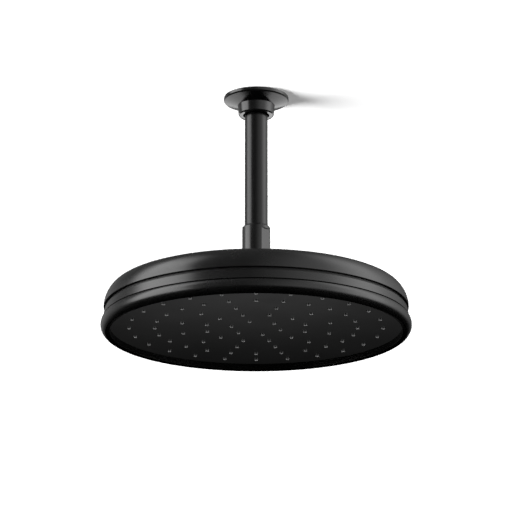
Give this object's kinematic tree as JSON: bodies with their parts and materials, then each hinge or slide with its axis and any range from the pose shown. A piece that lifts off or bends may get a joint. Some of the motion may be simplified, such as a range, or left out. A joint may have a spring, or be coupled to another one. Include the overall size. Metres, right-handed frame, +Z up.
{
  "type": "ceiling rain shower head",
  "caption": "Round ceiling-mounted rain shower head with banded rim and recessed spray face, on a short straight arm with a sliding flange and a ball swivel.",
  "frame": {"origin": "on the arm's axis, in the plane of the finished ceiling", "axes": "+Z up along the arm towards the supply; -Y is the front; the spray face looks down -Z"},
  "size_m": [0.3066, 0.3066, 0.2646],
  "materials": {
    "black_coat": "satin black powder coat",
    "black_plastic": "matte black moulding",
    "black_rubber": "black rubber seal",
    "grey_silicone": "soft silicone",
    "white_plastic": "natural white moulding",
    "brass": "machined brass",
    "steel": "stainless steel"
  },
  "bodies": {
    "arm": {"shower_arm": "black_coat", "swivel_fitting": "black_coat", "inlet_washer": "black_rubber", "filter_screen": "steel", "flow_regulator": "white_plastic", "regulator_o_ring": "black_rubber"},
    "grip": {"grip_o_ring": "black_rubber"},
    "flange": {"ceiling_flange": "black_coat", "flange_bushing": "black_plastic"},
    "liner": {"ball_liner": "white_plastic"},
    "head": {"retaining_collar": "black_coat", "ball_seal": "black_rubber", "backing_ring": "white_plastic", "inlet_boss": "brass", "boss_gasket": "black_rubber", "hub_o_ring": "black_rubber", "top_shell": "black_coat", "spacer_ring": "black_plastic", "mid_ring": "black_coat", "rim_ring": "black_coat", "chamber_back": "white_plastic", "chamber_screws": "steel", "ring_screws": "steel", "nozzle_mat": "grey_silicone", "face_plate": "black_coat"}
  },
  "joints": [
    {"name": "flange_slide", "type": "slide", "parent": "arm", "child": "grip", "axis": [0, 0, -1], "range_m": [0, 0.115]},
    {"name": "flange_turn", "type": "hinge", "parent": "grip", "child": "flange", "pos_m": [0, 0, 0], "axis": [0, 0, 1], "continuous": true},
    {"name": "head_turn", "type": "hinge", "parent": "arm", "child": "liner", "pos_m": [0, 0, -0.18], "axis": [0, 0, 1], "continuous": true},
    {"name": "head_tilt", "type": "hinge", "parent": "liner", "child": "head", "pos_m": [0, 0, -0.18], "axis": [1, 0, 0], "range_deg": [-15, 15]}
  ]
}
